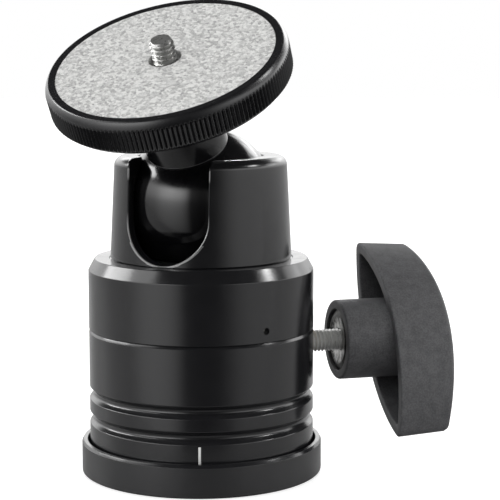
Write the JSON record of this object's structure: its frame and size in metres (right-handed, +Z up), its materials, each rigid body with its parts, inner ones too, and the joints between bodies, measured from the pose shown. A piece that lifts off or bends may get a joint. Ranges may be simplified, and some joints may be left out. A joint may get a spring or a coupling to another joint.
{
  "type": "tripod ball head",
  "caption": "Ball head on a panning base: a slotted neck holds a ball whose stem carries a round cork-faced camera plate, and one side wing knob clamps ball and pan.",
  "frame": {"origin": "where the head's vertical axis meets the tripod's surface, the mouth of the tripod thread", "axes": "+Z up the head's axis, -Y towards the index mark, +X towards the side with the clamp knob (the knob is turned 14 degrees from +X towards +Y)"},
  "size_m": [0.1078, 0.0799, 0.1255],
  "materials": {
    "anodised": "black anodised, fine turned, semi-gloss",
    "ball_finish": "black anodised, polished",
    "plate_finish": "black anodised, fine ribbed edge",
    "bare_aluminium": "machined",
    "steel": "turned steel",
    "brass": "turned brass",
    "acetal": "black acetal",
    "ptfe": "bearing sheet",
    "lining": "friction lining",
    "knob_plastic": "fine textured moulding",
    "pad_cork": "light grey granulated cork rubber",
    "mark_paint": "white filled line"
  },
  "bodies": {
    "base": {"pan_base": "anodised", "tripod_insert": "steel", "pan_washer_lower": "ptfe", "pan_flange": "steel", "flange_screws": "steel"},
    "housing": {"bearing_ring": "bare_aluminium", "pan_washer_upper": "ptfe", "lower_housing": "anodised", "index_mark": "mark_paint", "upper_housing": "anodised", "housing_set_screw": "steel", "upper_seat": "acetal", "clamp_bush": "brass"},
    "wedge": {"thrust_wedge": "steel"},
    "lift": {"cup_carrier": "bare_aluminium", "disc_springs": "steel", "ball_cup": "acetal"},
    "brake": {"brake_shoe": "bare_aluminium", "brake_lining": "lining"},
    "knob": {"clamp_screw": "steel", "knob_insert": "steel", "knob_body": "knob_plastic"},
    "ball": {"ball": "ball_finish", "stem": "steel", "stem_collar": "anodised", "stem_clip": "steel"},
    "plate": {"camera_plate": "plate_finish", "grip_pad": "pad_cork", "camera_screw": "steel"}
  },
  "joints": [
    {"name": "pan", "type": "hinge", "parent": "base", "child": "housing", "pos_m": [0, 0, 0.01], "axis": [0, 0, 1], "continuous": true},
    {"name": "clamp_feed", "type": "slide", "parent": "housing", "child": "wedge", "axis": [0.9703, 0.2419, 0], "range_m": [0, 0.00075]},
    {"name": "knob_turn", "type": "hinge", "parent": "wedge", "child": "knob", "pos_m": [0.02911, 0.00726, 0.033], "axis": [0.9703, 0.2419, 0], "range_deg": [0, 270]},
    {"name": "cup_lift", "type": "slide", "parent": "housing", "child": "lift", "axis": [0, 0, 1], "range_m": [-0.00028, 0]},
    {"name": "brake_press", "type": "slide", "parent": "housing", "child": "brake", "axis": [0, 0, 1], "range_m": [0, 0.00028]},
    {"name": "ball_tilt", "type": "hinge", "parent": "housing", "child": "ball", "pos_m": [0, 0, 0.0724], "axis": [0.91, -0.4147, 0], "range_deg": [-46.5, 60.5]},
    {"name": "plate_spin", "type": "hinge", "parent": "ball", "child": "plate", "pos_m": [-0.00711, -0.01559, 0.10269], "axis": [-0.2042, -0.4481, 0.8704], "continuous": true}
  ],
  "couplings": [
    {"joint": "knob_turn", "follows": "clamp_feed", "rad_per_m": 6283.2},
    {"joint": "cup_lift", "follows": "clamp_feed", "ratio": -0.36397},
    {"joint": "brake_press", "follows": "clamp_feed", "ratio": 0.36397}
  ]
}
